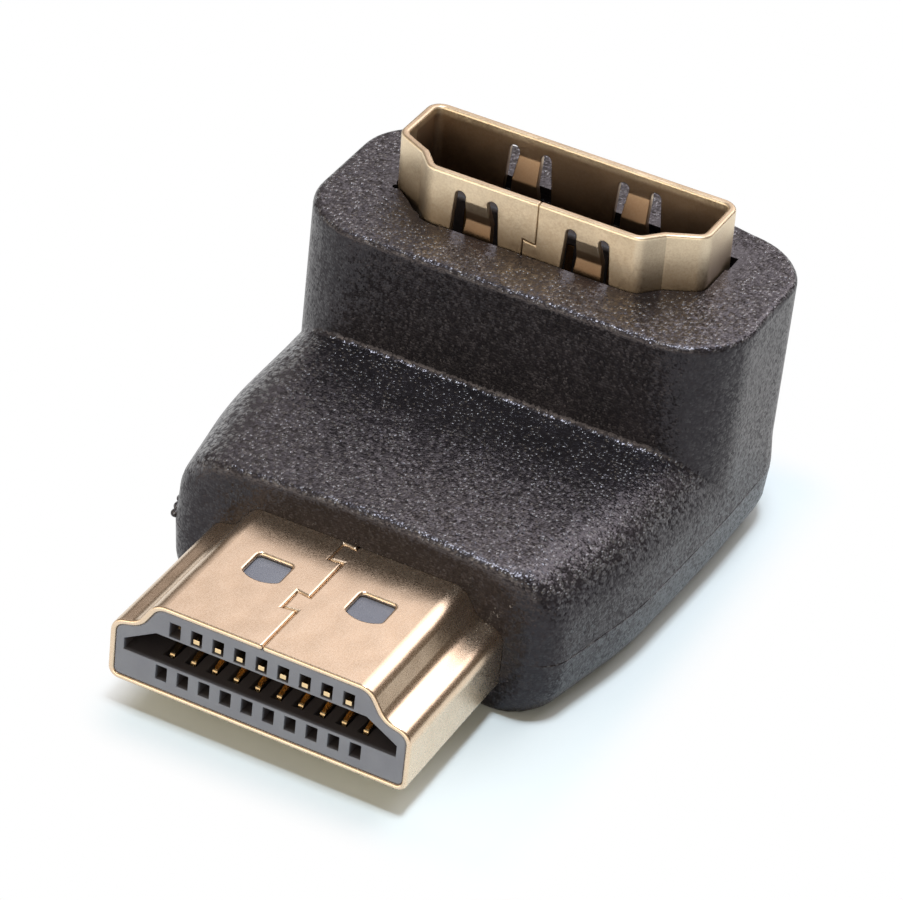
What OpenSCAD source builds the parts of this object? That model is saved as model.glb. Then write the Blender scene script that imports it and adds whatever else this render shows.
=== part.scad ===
// Right-angle video plug adapter: a moulded L body with a plug nose in front
// and a socket of the same kind on top.
// Axes: X is the width, -Y is where the plug points, +Z is where the socket opens.
// The part stands on Z = 0. Millimetres.

/* [Plug nose] */
// Width of the metal nose
nose_w = 13.9; // [13.5:0.05:14.2]
// Height of the metal nose
nose_h = 4.45; // [4.3:0.05:4.6]
// Length of the nose in front of the body
nose_l = 8.2; // [7:0.1:12]
// Width of the nose's narrow face
nose_narrow_w = 9.9; // [9.4:0.1:10.2]
// Distance between the two inner bends of the nose's flanks
nose_waist_w = 11.4; // [11:0.1:11.8]
// Depth of the inner bends below the narrow face
nose_waist_d = 1.22; // [1:0.02:1.4]
// Depth of the shoulder corners below the narrow face
nose_shoulder_d = 1.56; // [1.45:0.02:1.8]
// Thickness of the nose's sheet
nose_sheet = 0.25; // [0.2:0.01:0.32]
// Bend radius of the nose's lower corners, on the outside
nose_floor_r = 0.5; // [0.35:0.05:0.8]
// Bend radius of the nose's shoulder corners
nose_shoulder_r = 0.75; // [0.45:0.05:0.85]
// Radius of the nose's inner bends
nose_waist_r = 0.9; // [0.35:0.05:1]
// Bend radius of the narrow face's corners
nose_top_r = 0.9; // [0.45:0.05:1]
// Length of the nose's sheet held inside the body
nose_grip = 5; // [4:0.1:5.6]
// Height of the nose's middle above the floor
nose_axis_h = 3.45; // [3.3:0.05:3.7]

/* [Nose windows and seam] */
// Distance of a window's middle from the nose's middle
window_x = 2.4; // [2:0.1:3]
// Width of a window
window_w = 1.65; // [1.2:0.05:2]
// Length of a window's straight sides
window_l = 1.4; // [1:0.05:1.8]
// How far a window's front edge bows forward
window_bow = 0.32; // [0.1:0.02:0.5]
// Distance from the nose's end to a window's back edge
window_back = 5.55; // [5:0.05:6]
// Gap between the two edges of the folded sheet
seam_gap = 0.06; // [0.04:0.01:0.1]
// How far a locking tongue crosses the seam
lock_reach = 0.62; // [0.4:0.02:0.8]
// Length of a locking tongue along the seam
lock_l = 1.3; // [0.9:0.05:1.6]
// Widening of a locking tongue towards its end
lock_flare = 0.1; // [0:0.02:0.2]
// Distance from the nose's end to the middle of the first locking tongue
lock_y = 3.45; // [2.5:0.05:4.5]
// Distance between the locking tongues
lock_step = 3.95; // [3:0.05:4.4]

/* [Plug insulator] */
// How far the plug's insulator stops short of the shell's inner end
core_short = 0.2; // [0:0.05:1]
// Depth of the slot that takes the socket's tongue
mouth_l = 6.4; // [5:0.1:7]
// Half width of the slot at its widest
mouth_half_w = 6.3; // [6:0.05:6.4]
// Half width of the slot's flat roof
mouth_roof_half_w = 4.85; // [4.5:0.05:5.2]
// Height of the slot's roof above the nose's middle
mouth_roof = 0.75; // [0.6:0.01:0.85]
// Height above the nose's middle at which the slot's side starts to lean in
mouth_side = -0.1; // [-0.3:0.05:0.1]
// Depth of the slot's floor below the nose's middle
mouth_floor = 0.65; // [0.55:0.01:0.75]
// Width of a contact channel
channel_w = 0.52; // [0.4:0.01:0.6]
// Height of a contact channel's opening in the front face
channel_h = 0.7; // [0.6:0.01:0.75]
// Height of the upper channels' middle above the nose's middle
channel_up = 1.21; // [1.15:0.01:1.25]
// Depth of the lower channels' middle below the nose's middle
channel_down = 1.15; // [1.1:0.01:1.2]
// Thickness of the bridge between a channel's opening and the slot
channel_bridge_l = 0.6; // [0.4:0.05:1]
// Recess of the insulator behind the nose's end
core_recess = 0.05; // [0:0.01:0.3]

/* [Contacts] */
// Distance between neighbouring contacts of a row
pitch = 1; // [1:0.05:1]
// Contacts in the upper row of the plug
upper_n = 9; // [7:1:9]
// Contacts in the lower row of the plug
lower_n = 10; // [8:1:10]
// Width of a contact strip
strip_w = 0.34; // [0.26:0.01:0.4]
// Thickness of a contact strip
strip_t = 0.16; // [0.12:0.01:0.2]
// How far a plug contact reaches into the slot
contact_dip = 0.26; // [0.15:0.01:0.32]
// Distance from the nose's end to the tips of the upper contacts
upper_tip_y = 0.08; // [0.06:0.02:0.5]
// Height of the upper contacts' tips below their channels' middle
upper_tip_low = 0.21; // [0.1:0.01:0.24]
// Distance from the nose's end to the tips of the lower contacts
lower_tip_y = 0.3; // [0.06:0.02:0.5]
// Distance of the lower contacts' tips from their channels' middle towards the slot
lower_tip_low = 0.12; // [0.1:0.01:0.24]
// Distance from the nose's end to the contact's lowest point
dip_y = 2.3; // [1.8:0.1:3]
// Distance from the nose's end to where the contact lies flat in its channel
spring_root_y = 5.6; // [5:0.1:6.2]
// Length over which a plug contact steps down to the circuit board
tail_step_l = 0.9; // [0.7:0.05:1.2]
// Length of a plug contact's level part inside the insulator behind that step
tail_flat_l = 1; // [0.6:0.05:1.2]
// Length of a plug contact's tail on the circuit board
tail_l = 1.8; // [1.2:0.1:2.4]
// Bend radius of a plug contact
contact_r = 0.9; // [0.5:0.05:1]
// Height of the solder over a plug contact's tail
solder_h = 0.1; // [0.05:0.01:0.15]
// Length of a socket contact's foot on the circuit board
foot_l = 0.8; // [0.5:0.05:0.95]
// Bend radius of a socket contact's foot
foot_r = 0.22; // [0.15:0.01:0.3]

/* [Socket] */
// Clear width of the socket
socket_w = 14.15; // [13.95:0.05:14.3]
// Clear height of the socket from the narrow to the wide wall
socket_h = 4.55; // [4.5:0.05:4.7]
// Thickness of the socket's sheet
socket_sheet = 0.36; // [0.3:0.01:0.4]
// Clear width of the socket's narrow wall
socket_narrow_w = 9.7; // [9.4:0.1:10]
// Clear distance between the inner bends of the socket's flanks
socket_waist_w = 11.2; // [10.9:0.1:11.5]
// Depth of the socket's inner bends behind the narrow wall
socket_waist_d = 0.9; // [0.8:0.02:1]
// Depth of the socket's shoulder corners behind the narrow wall
socket_shoulder_d = 1.72; // [1.6:0.02:1.9]
// Bend radius on the inside of the socket
socket_r = 0.4; // [0.3:0.05:0.6]
// How far the socket stands out of the body
socket_rise = 2.7; // [2:0.05:3.5]
// Width of the top face in front of the socket's narrow wall
front_land = 2.97; // [2.6:0.02:3.3]
// Distance of the socket's seam from its middle
socket_seam_x = 0.27; // [0:0.01:0.5]
// Height of the seam's locking tongue above the top face
socket_lock_h = 0.3; // [0.2:0.02:0.6]
// Length of that tongue along the seam
socket_lock_l = 0.9; // [0.7:0.05:1.2]
// Depth of the tongue's end below the socket's rim
tongue_below_rim = 2; // [1.6:0.05:3]
// Length of the tongue
tongue_l = 4.6; // [4:0.1:6]
// Width of the tongue
tongue_w = 10.4; // [10.1:0.1:10.5]
// Thickness of the tongue
tongue_t = 0.9; // [0.8:0.02:1]
// Bare end of the tongue beyond its contacts
tongue_tip = 0.5; // [0.3:0.05:0.8]
// Distance of the tongue's middle from the inside of the socket's wide wall
tongue_from_wide = 2.3; // [2.2:0.05:2.5]
// Width of a leg that ties the socket to the board
leg_w = 0.7; // [0.6:0.05:0.8]
// How far a leg reaches below the board
leg_reach = 1; // [0.6:0.1:1.2]
// Distance between the two legs of a side
leg_step = 1.3; // [1.2:0.05:1.4]
// Room between the board and the socket's insulator for the contacts' feet
foot_room = 0.3; // [0.25:0.05:0.5]

/* [Socket springs] */
// Distance of a spring's middle from the socket's middle
spring_x = 2.66; // [2.4:0.02:3]
// Width of a spring at its upper end
spring_w = 1.05; // [0.9:0.05:1.3]
// Widening of a spring on each side down to the lower end of the cuts
spring_flare = 0.3; // [0.1:0.02:0.4]
// Width of the cut on each side of a spring
spring_cut = 0.5; // [0.3:0.02:0.6]
// Distance from the rim to the upper end of the cuts
spring_top = 0.7; // [0.5:0.05:0.85]
// Length of the cuts
spring_l = 4.2; // [3.8:0.1:4.8]
// Distance from the rim to the spring's inner bend
spring_bend = 2.15; // [1.9:0.05:2.4]
// How far the spring's bend stands inside the wall
spring_in = 0.42; // [0.2:0.02:0.5]
// Bend radius of a spring
spring_r = 0.25; // [0.15:0.01:0.3]
// Length of the spring's flat root above the lower end of the cuts
spring_root_l = 0.5; // [0.3:0.05:0.8]

/* [Circuit board] */
// Width of the circuit board
board_w = 17.6; // [16.8:0.1:18]
// Gap between the plug shell's inner end and the board
board_gap = 0.1; // [0.05:0.05:0.3]
// Wall of the moulding behind the board
board_cover = 1.25; // [1:0.05:1.8]
// Thickness of the circuit board
board_t = 0.8; // [0.6:0.05:0.9]

/* [Moulded body] */
// Length of the lower arm in front of the upper arm
arm_l = 11.25; // [11:0.05:11.6]
// Depth of the upper arm from its front wall to the back
upper_l = 10.8; // [10.5:0.05:11.1]
// Width of the body at its widest, along the parting line
body_w = 21.1; // [20.8:0.05:21.4]
// Width of the lower arm at the plug end
plug_end_w = 18.1; // [17.8:0.05:18.5]
// Width of the lower arm where its flare ends
flare_w = 20.5; // [20.2:0.05:20.8]
// Length of the flare
flare_l = 6.2; // [5.5:0.1:7.5]
// Radius of the bend that ends the flare
flare_r = 22; // [10:1:24]
// Depth of the parting line below the nose's middle
parting_down = 0.45; // [0.2:0.05:1]
// Height of the plug end's top edge above the nose's middle
arm_top_front = 4; // [3.9:0.02:4.1]
// Height of the lower arm's top at the crease above the nose's middle
arm_top_crease = 3.78; // [3.7:0.02:3.85]
// Drop of the crowned top towards the long edges at the plug end
crown = 0.36; // [0.2:0.02:0.45]
// Radius of the lower arm's upper long edges at the plug end
long_r_front = 2.6; // [2:0.1:3]
// Radius of the lower arm's upper long edges at the crease
long_r_crease = 3.1; // [2.6:0.1:3.4]
// Radius of the lower long edges
floor_r = 1.7; // [1.3:0.05:2.1]
// Radius of the plug end's edges
end_edge_r = 0.4; // [0.3:0.02:0.6]
// Radius of the upright corners at the plug end
end_corner_r = 1.3; // [1:0.05:1.6]
// Radius of the back's lower edge
back_edge_r = 1.2; // [0.8:0.05:1.5]
// Radius of the upright corners at the back
back_corner_r = 3.4; // [3:0.1:3.6]
// How far the walls lean in from the parting line to the top and to the floor
side_draft = 0.1; // [0.05:0.01:0.15]
// Height of the upper arm's top above the nose's middle
upper_top = 9.12; // [8.8:0.02:9.4]
// Step from the parting line in to the upper arm's walls
wall_step = 0.1; // [0.06:0.01:0.15]
// Radius of the upper arm's front corners
upper_front_r = 3.4; // [2.8:0.1:3.6]
// Radius of the upper arm's top edge
upper_edge_r = 0.32; // [0.2:0.02:0.5]
// Gap between the moulding and the socket at the top face
lip_gap = 0.05; // [0.03:0.01:0.1]
// Depth of that gap
lip_depth = 0.5; // [0.3:0.1:1]
// Radius of the small pit beside the socket's left shoulder
pit_r = 0.16; // [0.1:0.02:0.25]
// Distance of that pit in front of the shoulder's corner
pit_ahead = 0.4; // [0.3:0.02:0.5]
// Width of the wider stretch of the gap beside the socket's right side
wide_gap = 0.2; // [0.1:0.02:0.3]
// Length of that stretch
wide_gap_l = 1.1; // [0.8:0.1:1.6]
// Distance of its rear end from the outside of the socket's wide wall
wide_gap_back = 0.15; // [0:0.05:0.5]
// Width of the gap that runs straight past the inner bend of the socket's left flank
shoulder_gap = 0.15; // [0.06:0.01:0.25]

/* [Hidden] */
// fineness of a bend, in steps
bend_steps = 5;
// fineness of the body's upright corners, in steps
corner_steps = 5;
// fineness of the lower arm's crowned top, its upper and its lower long edges, in steps
crown_steps = 5;
edge_steps = 6;
floor_steps = 4;
// fineness of the upper arm's top edge, in steps
top_steps = 4;
// height of the lower arm's rear end above the parting line, and the length of the lean down to it
tuck_h = 0.5;
tuck_l = 2.5;
// how far the upper arm reaches below the parting line inside the lower arm, and its lean there
sink_h = 0.8;
sink_in = 1;
// overlap that lets a cut pass a face
over = 0.1;
// overlap that joins a spring to its wall
weld = 0.15;
$fn = 40;
board_top = board_t / 2;
parting_z = -parting_down;
nose_end = nose_l + nose_grip;
core_end = nose_end - core_short;
board_y = nose_end + board_gap;
upper_y = nose_l + arm_l;
body_end = upper_y + upper_l;
socket_y = upper_y + front_land;
socket_out_w = socket_w + 2 * socket_sheet;
socket_out_h = socket_h + 2 * socket_sheet;
rim_z = upper_top + socket_rise;
narrow_in_y = socket_y + socket_sheet;
wide_in_y = narrow_in_y + socket_h;
shell_mid_y = socket_y + socket_out_h / 2;
leg_mid_y = narrow_in_y + (socket_shoulder_d + socket_h) / 2;
tongue_y = wide_in_y - tongue_from_wide;
tongue_end_z = rim_z - tongue_below_rim;
base_top_z = tongue_end_z - tongue_l;
spring_top_z = rim_z - spring_top - spring_cut / 2;
spring_low_z = rim_z - spring_top - spring_l;

function two(n) = n < 10 ? str("0", n) : str(n);

function unit(v) = v / norm(v);
function left_of(v) = [-v[1], v[0]];

// a corner moved to the inside of a counter-clockwise outline by d
function moved(a, p, b, d) =
    let (m = left_of(unit(p - a)), n = left_of(unit(b - p)))
    p + d * (m + n) / (1 + m * n);

// points of an arc of radius r that rounds the corner p
function bend(a, p, b, r, steps) =
    let (u = unit(a - p), v = unit(b - p), half = acos(u * v) / 2,
         mid = p + unit(u + v) * r / sin(half),
         s = p + u * r / tan(half) - mid, e = p + v * r / tan(half) - mid,
         a0 = atan2(s[1], s[0]), turn = atan2(e[1], e[0]) - a0,
         sweep = turn > 180 ? turn - 360 : turn < -180 ? turn + 360 : turn)
    [for (i = [0 : steps]) mid + r * [cos(a0 + sweep * i / steps), sin(a0 + sweep * i / steps)]];

// an outline from corners [x, y, radius], moved inwards by d
function outline(c, d = 0, steps = bend_steps) =
    let (n = len(c), xy = [for (q = c) [q[0], q[1]]],
         m = [for (i = [0 : n - 1]) moved(xy[(i + n - 1) % n], xy[i], xy[(i + 1) % n], d)],
         convex = [for (i = [0 : n - 1])
                   cross(xy[i] - xy[(i + n - 1) % n], xy[(i + 1) % n] - xy[i]) > 0])
    [for (i = [0 : n - 1])
     each bend(m[(i + n - 1) % n], m[i], m[(i + 1) % n], c[i][2] + (convex[i] ? -d : d), steps)];

// corners of the shells' shape: narrow wall up, wide wall down, middle of the width at x = 0
function shell_corners(w, h, narrow_w, waist_w, waist_d, shoulder_d, r) =
    let (right = [[w / 2, -h / 2, r[0]], [w / 2, h / 2 - shoulder_d, r[1]],
                  [waist_w / 2, h / 2 - waist_d, r[2]], [narrow_w / 2, h / 2, r[3]]])
    concat(right, [for (i = [3 : -1 : 0]) [-right[i][0], right[i][1], right[i][2]]]);

nose_corners = shell_corners(nose_w, nose_h, nose_narrow_w, nose_waist_w, nose_waist_d,
                             nose_shoulder_d, [nose_floor_r, nose_shoulder_r, nose_waist_r, nose_top_r]);
socket_corners = shell_corners(socket_w, socket_h, socket_narrow_w, socket_waist_w, socket_waist_d,
                               socket_shoulder_d, [socket_r, socket_r, socket_r, socket_r]);

// a strip of thickness t along a path, as an outline
function side_of(p, t) =
    let (n = len(p) - 1)
    [for (i = [0 : n])
     i == 0 ? p[0] + t * left_of(unit(p[1] - p[0])) :
     i == n ? p[n] + t * left_of(unit(p[n] - p[n - 1])) :
     moved(p[i - 1], p[i], p[i + 1], t)];
function strip(p, t) = concat(side_of(p, t / 2), [for (i = [len(p) - 1 : -1 : 0]) side_of(p, -t / 2)[i]]);

// a path with its inner points rounded
function eased(p, r, steps) =
    [for (i = [0 : len(p) - 1])
     each (i == 0 || i == len(p) - 1 ? [p[i]] : bend(p[i - 1], p[i], p[i + 1], r, steps))];

// from the nose's own axes to the floor and the middle of the length
module placed() {
    translate([0, -body_end / 2, nose_axis_h]) children();
}

// an outline drawn in X and Z becomes a bar that starts at y and runs back
module along_y(y, l) {
    translate([0, y + l, 0]) rotate([90, 0, 0]) linear_extrude(l) children();
}

// an outline drawn in Y and Z becomes a bar of width w across X
module across_x(x, w) {
    translate([x - w / 2, 0, 0]) rotate([90, 0, 90]) linear_extrude(w) children();
}

// the socket's shape, narrow wall to the front, moved inwards by d
module socket_shape(d) {
    translate([0, shell_mid_y]) mirror([0, 1]) polygon(outline(socket_corners, d));
}

// a window in the nose: square at the back, bowed at the front
module window() {
    x0 = window_w / 2;
    y0 = window_back - window_l;
    arc_r = (x0 * x0 + window_bow * window_bow) / (2 * window_bow);
    translate([-x0, y0]) square([window_w, window_l]);
    intersection() {
        translate([0, y0 - window_bow + arc_r]) circle(arc_r);
        translate([-x0, y0 - window_bow]) square([window_w, window_bow + over]);
    }
}

// a locking tongue of length l round y, and the seam in the nose's narrow face with its two tongues
function lock_path(y, l) =
    [[0, y - l / 2 + lock_flare], [-lock_reach, y - l / 2], [-lock_reach, y + l / 2],
     [0, y + l / 2 - lock_flare]];
function seam_path(y0, y1) =
    concat([[0, y0]], lock_path(lock_y, lock_l), lock_path(lock_y + lock_step, lock_l), [[0, y1]]);

module plug_shell() {
    color([0.86, 0.74, 0.52])
    difference() {
        along_y(0, nose_end)
            difference() {
                polygon(outline(nose_corners));
                polygon(outline(nose_corners, nose_sheet));
            }
        for (side = [-1, 1]) {
            translate([side * window_x, 0, -nose_h]) linear_extrude(2 * nose_h) window();
        }
        translate([0, 0, nose_h / 2 - nose_sheet - over]) linear_extrude(nose_sheet + 2 * over)
            polygon(strip(seam_path(-over, nose_end + over), seam_gap));
    }
}

// place of contact i in a row of n
function row_x(i, n) = (i - (n - 1) / 2) * pitch;

mouth_shape = [[mouth_half_w, -mouth_floor], [mouth_half_w, mouth_side],
               [mouth_roof_half_w, mouth_roof], [-mouth_roof_half_w, mouth_roof],
               [-mouth_half_w, mouth_side], [-mouth_half_w, -mouth_floor]];

// height of a plug contact's flat run, close to the far side of its channel
function run_z(mid) = mid + channel_h / 2 - strip_t / 2;

// a channel: front opening, spring room open to the slot, and the seat of the flat run
module channel(x, mid, reach) {
    top = mid + channel_h / 2;
    translate([x - channel_w / 2, -over, mid - channel_h / 2])
        cube([channel_w, mouth_l + over, channel_h]);
    translate([x - channel_w / 2, core_recess + channel_bridge_l, reach - over])
        cube([channel_w, mouth_l - core_recess - channel_bridge_l, top - reach + over]);
    across_x(x, strip_w) polygon(strip(tail_path(mid), strip_t));
}

// the flat run of a plug contact and its step down to the board
function tail_path(mid) =
    [[mouth_l - over, run_z(mid)], [core_end - tail_flat_l - tail_step_l, run_z(mid)],
     [core_end - tail_flat_l, board_top + strip_t / 2], [core_end + over, board_top + strip_t / 2]];

module plug_insulator() {
    color([0.36, 0.4, 0.47])
    difference() {
        along_y(core_recess, core_end - core_recess) polygon(outline(nose_corners, nose_sheet));
        along_y(-over, mouth_l + over) polygon(mouth_shape);
        for (i = [0 : upper_n - 1]) channel(row_x(i, upper_n), channel_up, mouth_roof);
        mirror([0, 0, 1])
            for (i = [0 : lower_n - 1]) channel(row_x(i, lower_n), channel_down, mouth_floor);
    }
}

// a plug contact passes its channel's bridge and dips into the slot: points at the strip's middle,
// for a channel at height mid over a slot wall at height wall, the tip at tip_y, tip_low under mid
function contact_path(mid, wall, tip_y, tip_low) =
    let (low = wall - contact_dip + strip_t / 2, flat = run_z(mid), tip_z = mid - tip_low,
         past_bridge = core_recess + channel_bridge_l + strip_t)
    concat(eased([[tip_y, tip_z], [past_bridge, tip_z], [dip_y, low], [spring_root_y, flat],
                  [core_end - tail_flat_l - tail_step_l, flat]], contact_r, 4),
           [[core_end - tail_flat_l, board_top + strip_t / 2],
            [board_y + tail_l, board_top + strip_t / 2]]);

module plug_contact(i) {
    upper = contact_path(channel_up, mouth_roof, upper_tip_y, upper_tip_low);
    lower = contact_path(channel_down, mouth_floor, lower_tip_y, lower_tip_low);
    color([0.9, 0.76, 0.42])
    if (i < upper_n)
        across_x(row_x(i, upper_n), strip_w) polygon(strip(upper, strip_t));
    else
        mirror([0, 0, 1]) across_x(row_x(i - upper_n, lower_n), strip_w) polygon(strip(lower, strip_t));
}

// the outline of a spring with d more on each side, drawn in X and Z and reaching l past both ends
module spring_outline(d, l) {
    w = spring_w / 2 + d;
    lean = spring_flare / (spring_top_z - spring_low_z);
    top_w = w - lean * l;
    low_w = w + spring_flare + lean * l;
    polygon([[top_w, spring_top_z + l], [-top_w, spring_top_z + l],
             [-low_w, spring_low_z - l], [low_w, spring_low_z - l]]);
}

// the opening that frees a spring, with a round end over each of its two cuts
module spring_opening() {
    spring_outline(spring_cut, 0);
    for (side = [-1, 1])
        translate([side * (spring_w + spring_cut) / 2, spring_top_z]) circle(spring_cut / 2);
}

// the side view of a spring: it leans in from its top to a bend and comes back to the wall
module spring_side() {
    t = socket_sheet;
    polygon(strip(eased([[t / 2, spring_top_z + weld], [t / 2, spring_top_z - weld],
                         [t / 2 + spring_in, rim_z - spring_bend], [t / 2, spring_low_z + spring_root_l],
                         [t / 2, spring_low_z - weld]], spring_r, 3), t));
}

// an outline drawn in X and Z becomes a bar that passes the whole socket
module through_socket() {
    translate([0, wide_in_y + socket_sheet + over, 0]) rotate([90, 0, 0])
        linear_extrude(socket_out_h + 2 * over) children();
}

// a sheet wall with two springs in each of its long sides
module wall_with_springs() {
    difference() {
        children();
        for (side = [-1, 1]) translate([side * spring_x, 0, 0]) through_socket() spring_opening();
    }
    for (side = [-1, 1])
        intersection() {
            translate([side * spring_x, 0, 0]) through_socket() spring_outline(0, weld);
            union() {
                w = spring_w + 2 * (spring_flare + weld);
                translate([0, socket_y, 0]) across_x(side * spring_x, w) spring_side();
                translate([0, wide_in_y + socket_sheet, 0]) mirror([0, 1, 0])
                    across_x(side * spring_x, w) spring_side();
            }
        }
}

// the seam of the narrow wall with one locking tongue near the body
module socket_seam() {
    path = concat([[0, board_top - over]], lock_path(upper_top + socket_lock_h, socket_lock_l),
                  [[0, rim_z + over]]);
    translate([socket_seam_x, socket_y + socket_sheet + over, 0]) rotate([90, 0, 0])
        linear_extrude(socket_sheet + 2 * over) polygon(strip(path, seam_gap));
}

// the four legs, which are also the slots that they fill in the board and the moulding
module legs() {
    down = board_t + leg_reach;
    for (sx = [-1, 1])
        for (sy = [-1, 1])
            translate([sx * (socket_w + socket_sheet) / 2 - socket_sheet / 2,
                       leg_mid_y + (sy * leg_step - leg_w) / 2, board_top - down])
                cube([socket_sheet, leg_w, down]);
}

module socket_shell() {
    color([0.84, 0.73, 0.5]) {
        difference() {
            wall_with_springs()
                translate([0, 0, board_top]) linear_extrude(rim_z - board_top)
                    difference() {
                        socket_shape(-socket_sheet);
                        socket_shape(0);
                    }
            socket_seam();
        }
        legs();
    }
}

// a base that fills the shell and a tongue with grooves for the contacts
module socket_insulator() {
    base_z = board_top + foot_room;
    color([0.2, 0.2, 0.22])
    difference() {
        union() {
            translate([0, 0, base_z]) linear_extrude(base_top_z - base_z) socket_shape(0);
            translate([-tongue_w / 2, tongue_y - tongue_t / 2, base_top_z - over])
                cube([tongue_w, tongue_t, tongue_l + over]);
        }
        for (i = [0 : upper_n + lower_n - 1]) socket_strip(i);
    }
}

// a straight strip in one of the tongue's two faces, with a foot on the board
function foot_path(side) =
    let (y = tongue_y + side * (tongue_t - strip_t) / 2, z = board_top + strip_t / 2)
    eased([[y, tongue_end_z - tongue_tip], [y, z], [y + side * foot_l, z]], foot_r, 3);

module socket_strip(i) {
    narrow_side = i < upper_n;
    x = narrow_side ? row_x(i, upper_n) : row_x(i - upper_n, lower_n);
    across_x(x, strip_w) polygon(strip(foot_path(narrow_side ? -1 : 1), strip_t));
}

module socket_contact(i) {
    color([0.9, 0.76, 0.42]) socket_strip(i);
}

// the board carries both connectors
module board_block() {
    translate([-board_w / 2, board_y, -board_top])
        cube([board_w, body_end - board_cover - board_y, board_t]);
}

module circuit_board() {
    color([0.1, 0.3, 0.18])
    difference() {
        board_block();
        legs();
    }
}

// a closed skin over rings of equal point count; each end is closed round the middle of its ring
module skin(rings) {
    n = len(rings[0]);
    m = len(rings);
    ones = [for (i = [1 : n]) 1 / n];
    polyhedron(concat([for (r = rings) each r], [ones * rings[0], ones * rings[m - 1]]),
               concat([for (i = [0 : n - 1]) [m * n, i, (i + 1) % n]],
                      [for (k = [0 : m - 2], i = [0 : n - 1])
                       each [[k * n + i, (k + 1) * n + i, (k + 1) * n + (i + 1) % n],
                             [k * n + i, (k + 1) * n + (i + 1) % n, k * n + (i + 1) % n]]],
                      [for (i = [0 : n - 1]) [m * n + 1, (m - 1) * n + (i + 1) % n, (m - 1) * n + i]]));
}

// inset of a rounding of radius r at distance d from its outer face
function round_in(r, d) = d >= r ? 0 : r - sqrt(r * r - (r - d) * (r - d));

// half width of the lower arm along its length, and the radius of its upper long edges
flank = concat([[nose_l - flare_l, plug_end_w - flare_w / 2]],
               bend([nose_l, plug_end_w / 2], [nose_l + flare_l, flare_w / 2],
                    [upper_y + upper_front_r, body_w / 2], flare_r, 5),
               [[upper_y + upper_front_r, body_w / 2], [body_end + upper_l, body_w / 2]]);
function long_r(y) = lookup(y, [[nose_l, long_r_front], [upper_y, long_r_crease]]);

// one cross section of the lower arm: top, right side, floor and left side
function arm_section(y) =
    let (e = y - nose_l, g = body_end - y, f = min(1, e / (upper_y - nose_l)),
         w = lookup(y, flank) - round_in(end_corner_r, e) - round_in(back_corner_r, g),
         edge = arm_top_front - crown + f * (arm_top_crease - arm_top_front + crown),
         top = edge - round_in(end_edge_r, e) - (edge - parting_z - tuck_h) * round_in(1, g / tuck_l),
         k = (top - parting_z) / (edge - parting_z), r = long_r(y),
         floor_z = -nose_axis_h + round_in(end_edge_r, e) + round_in(back_edge_r, g),
         flat_w = w - side_draft - r,
         right = concat(
             [for (i = [1 : crown_steps])
              let (x = flat_w * i / crown_steps)
              [x, top + k * (1 - f) * crown * (1 - x * x / (flat_w * flat_w))]],
             [for (i = [1 : edge_steps])
              let (a = 90 * i / edge_steps)
              [flat_w + r * sin(a), top - k * r * (1 - cos(a))]],
             [[w, parting_z]],
             [for (i = [0 : floor_steps])
              let (a = 90 * i / floor_steps)
              [w - side_draft - floor_r * (1 - cos(a)), floor_z + floor_r * (1 - sin(a))]]))
    [for (q = concat([for (i = [len(right) - 1 : -1 : 0]) [-right[i][0], right[i][1]]],
                     [[0, top + k * (1 - f) * crown]], right))
     [q[0], y, q[1]]];

// the lower arm runs under the upper arm to the back
module lower_arm() {
    turn = [for (i = [0 : corner_steps]) 1 - cos(90 * i / corner_steps)];
    skin([for (y = concat([for (t = turn) nose_l + end_edge_r * t],
                          [nose_l + (end_edge_r + end_corner_r) / 2, nose_l + end_corner_r],
                          [for (i = [1 : len(flank) - 3]) flank[i][0]],
                          [upper_y, upper_y + upper_front_r],
                          [for (i = [corner_steps : -1 : 0]) body_end - back_corner_r * turn[i]]))
          arm_section(y)]);
}

// a ring of the upper arm: its outline at height z, moved inwards by d
function upper_ring(z, d) =
    let (w = body_w / 2 - wall_step - d, y0 = upper_y + d, y1 = body_end - wall_step - d)
    [for (q = outline([[w, y0, upper_front_r - d], [w, y1, back_corner_r - d],
                       [-w, y1, back_corner_r - d], [-w, y0, upper_front_r - d]], 0, corner_steps))
     [q[0], q[1], z]];

module upper_arm() {
    skin(concat([upper_ring(parting_z - sink_h, sink_in), upper_ring(parting_z, 0)],
                [for (i = [0 : top_steps])
                 let (a = 90 * i / top_steps)
                 upper_ring(upper_top - upper_edge_r * (1 - sin(a)), upper_edge_r * (1 - cos(a)))]));
}

// the room that the plug contacts' tails and their solder take over and under the board
module tail_room() {
    h = 2 * (board_top + strip_t + solder_h);
    w = (lower_n - 1) * pitch + 2 * strip_w;
    along_y(nose_end - over, board_gap + tail_l + 2 * over) square([w, h], center = true);
}

// the gap between the moulding and the socket at the top face, with a pit, a wider stretch on the
// right and a straight edge past the left flank
module lip() {
    shoulder_y = narrow_in_y + socket_shoulder_d;
    translate([0, 0, upper_top - lip_depth]) linear_extrude(lip_depth + over) {
        socket_shape(-socket_sheet - lip_gap);
        translate([(pit_r - socket_out_w) / 2, shoulder_y - pit_ahead]) circle(pit_r);
        translate([0, socket_y + socket_out_h - wide_gap_back - wide_gap_l])
            square([socket_out_w / 2 + wide_gap, wide_gap_l]);
        intersection() {
            hull() socket_shape(-socket_sheet - shoulder_gap);
            translate([-socket_w, upper_y])
                square([socket_w - socket_narrow_w / 2, shoulder_y - upper_y]);
        }
    }
}

module moulded_body() {
    color([0.13, 0.13, 0.14])
    difference() {
        union() {
            lower_arm();
            upper_arm();
        }
        along_y(nose_l - over, nose_grip + over) polygon(outline(nose_corners));
        tail_room();
        board_block();
        legs();
        translate([0, 0, board_top]) linear_extrude(upper_top) socket_shape(-socket_sheet);
        lip();
    }
}

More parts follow.
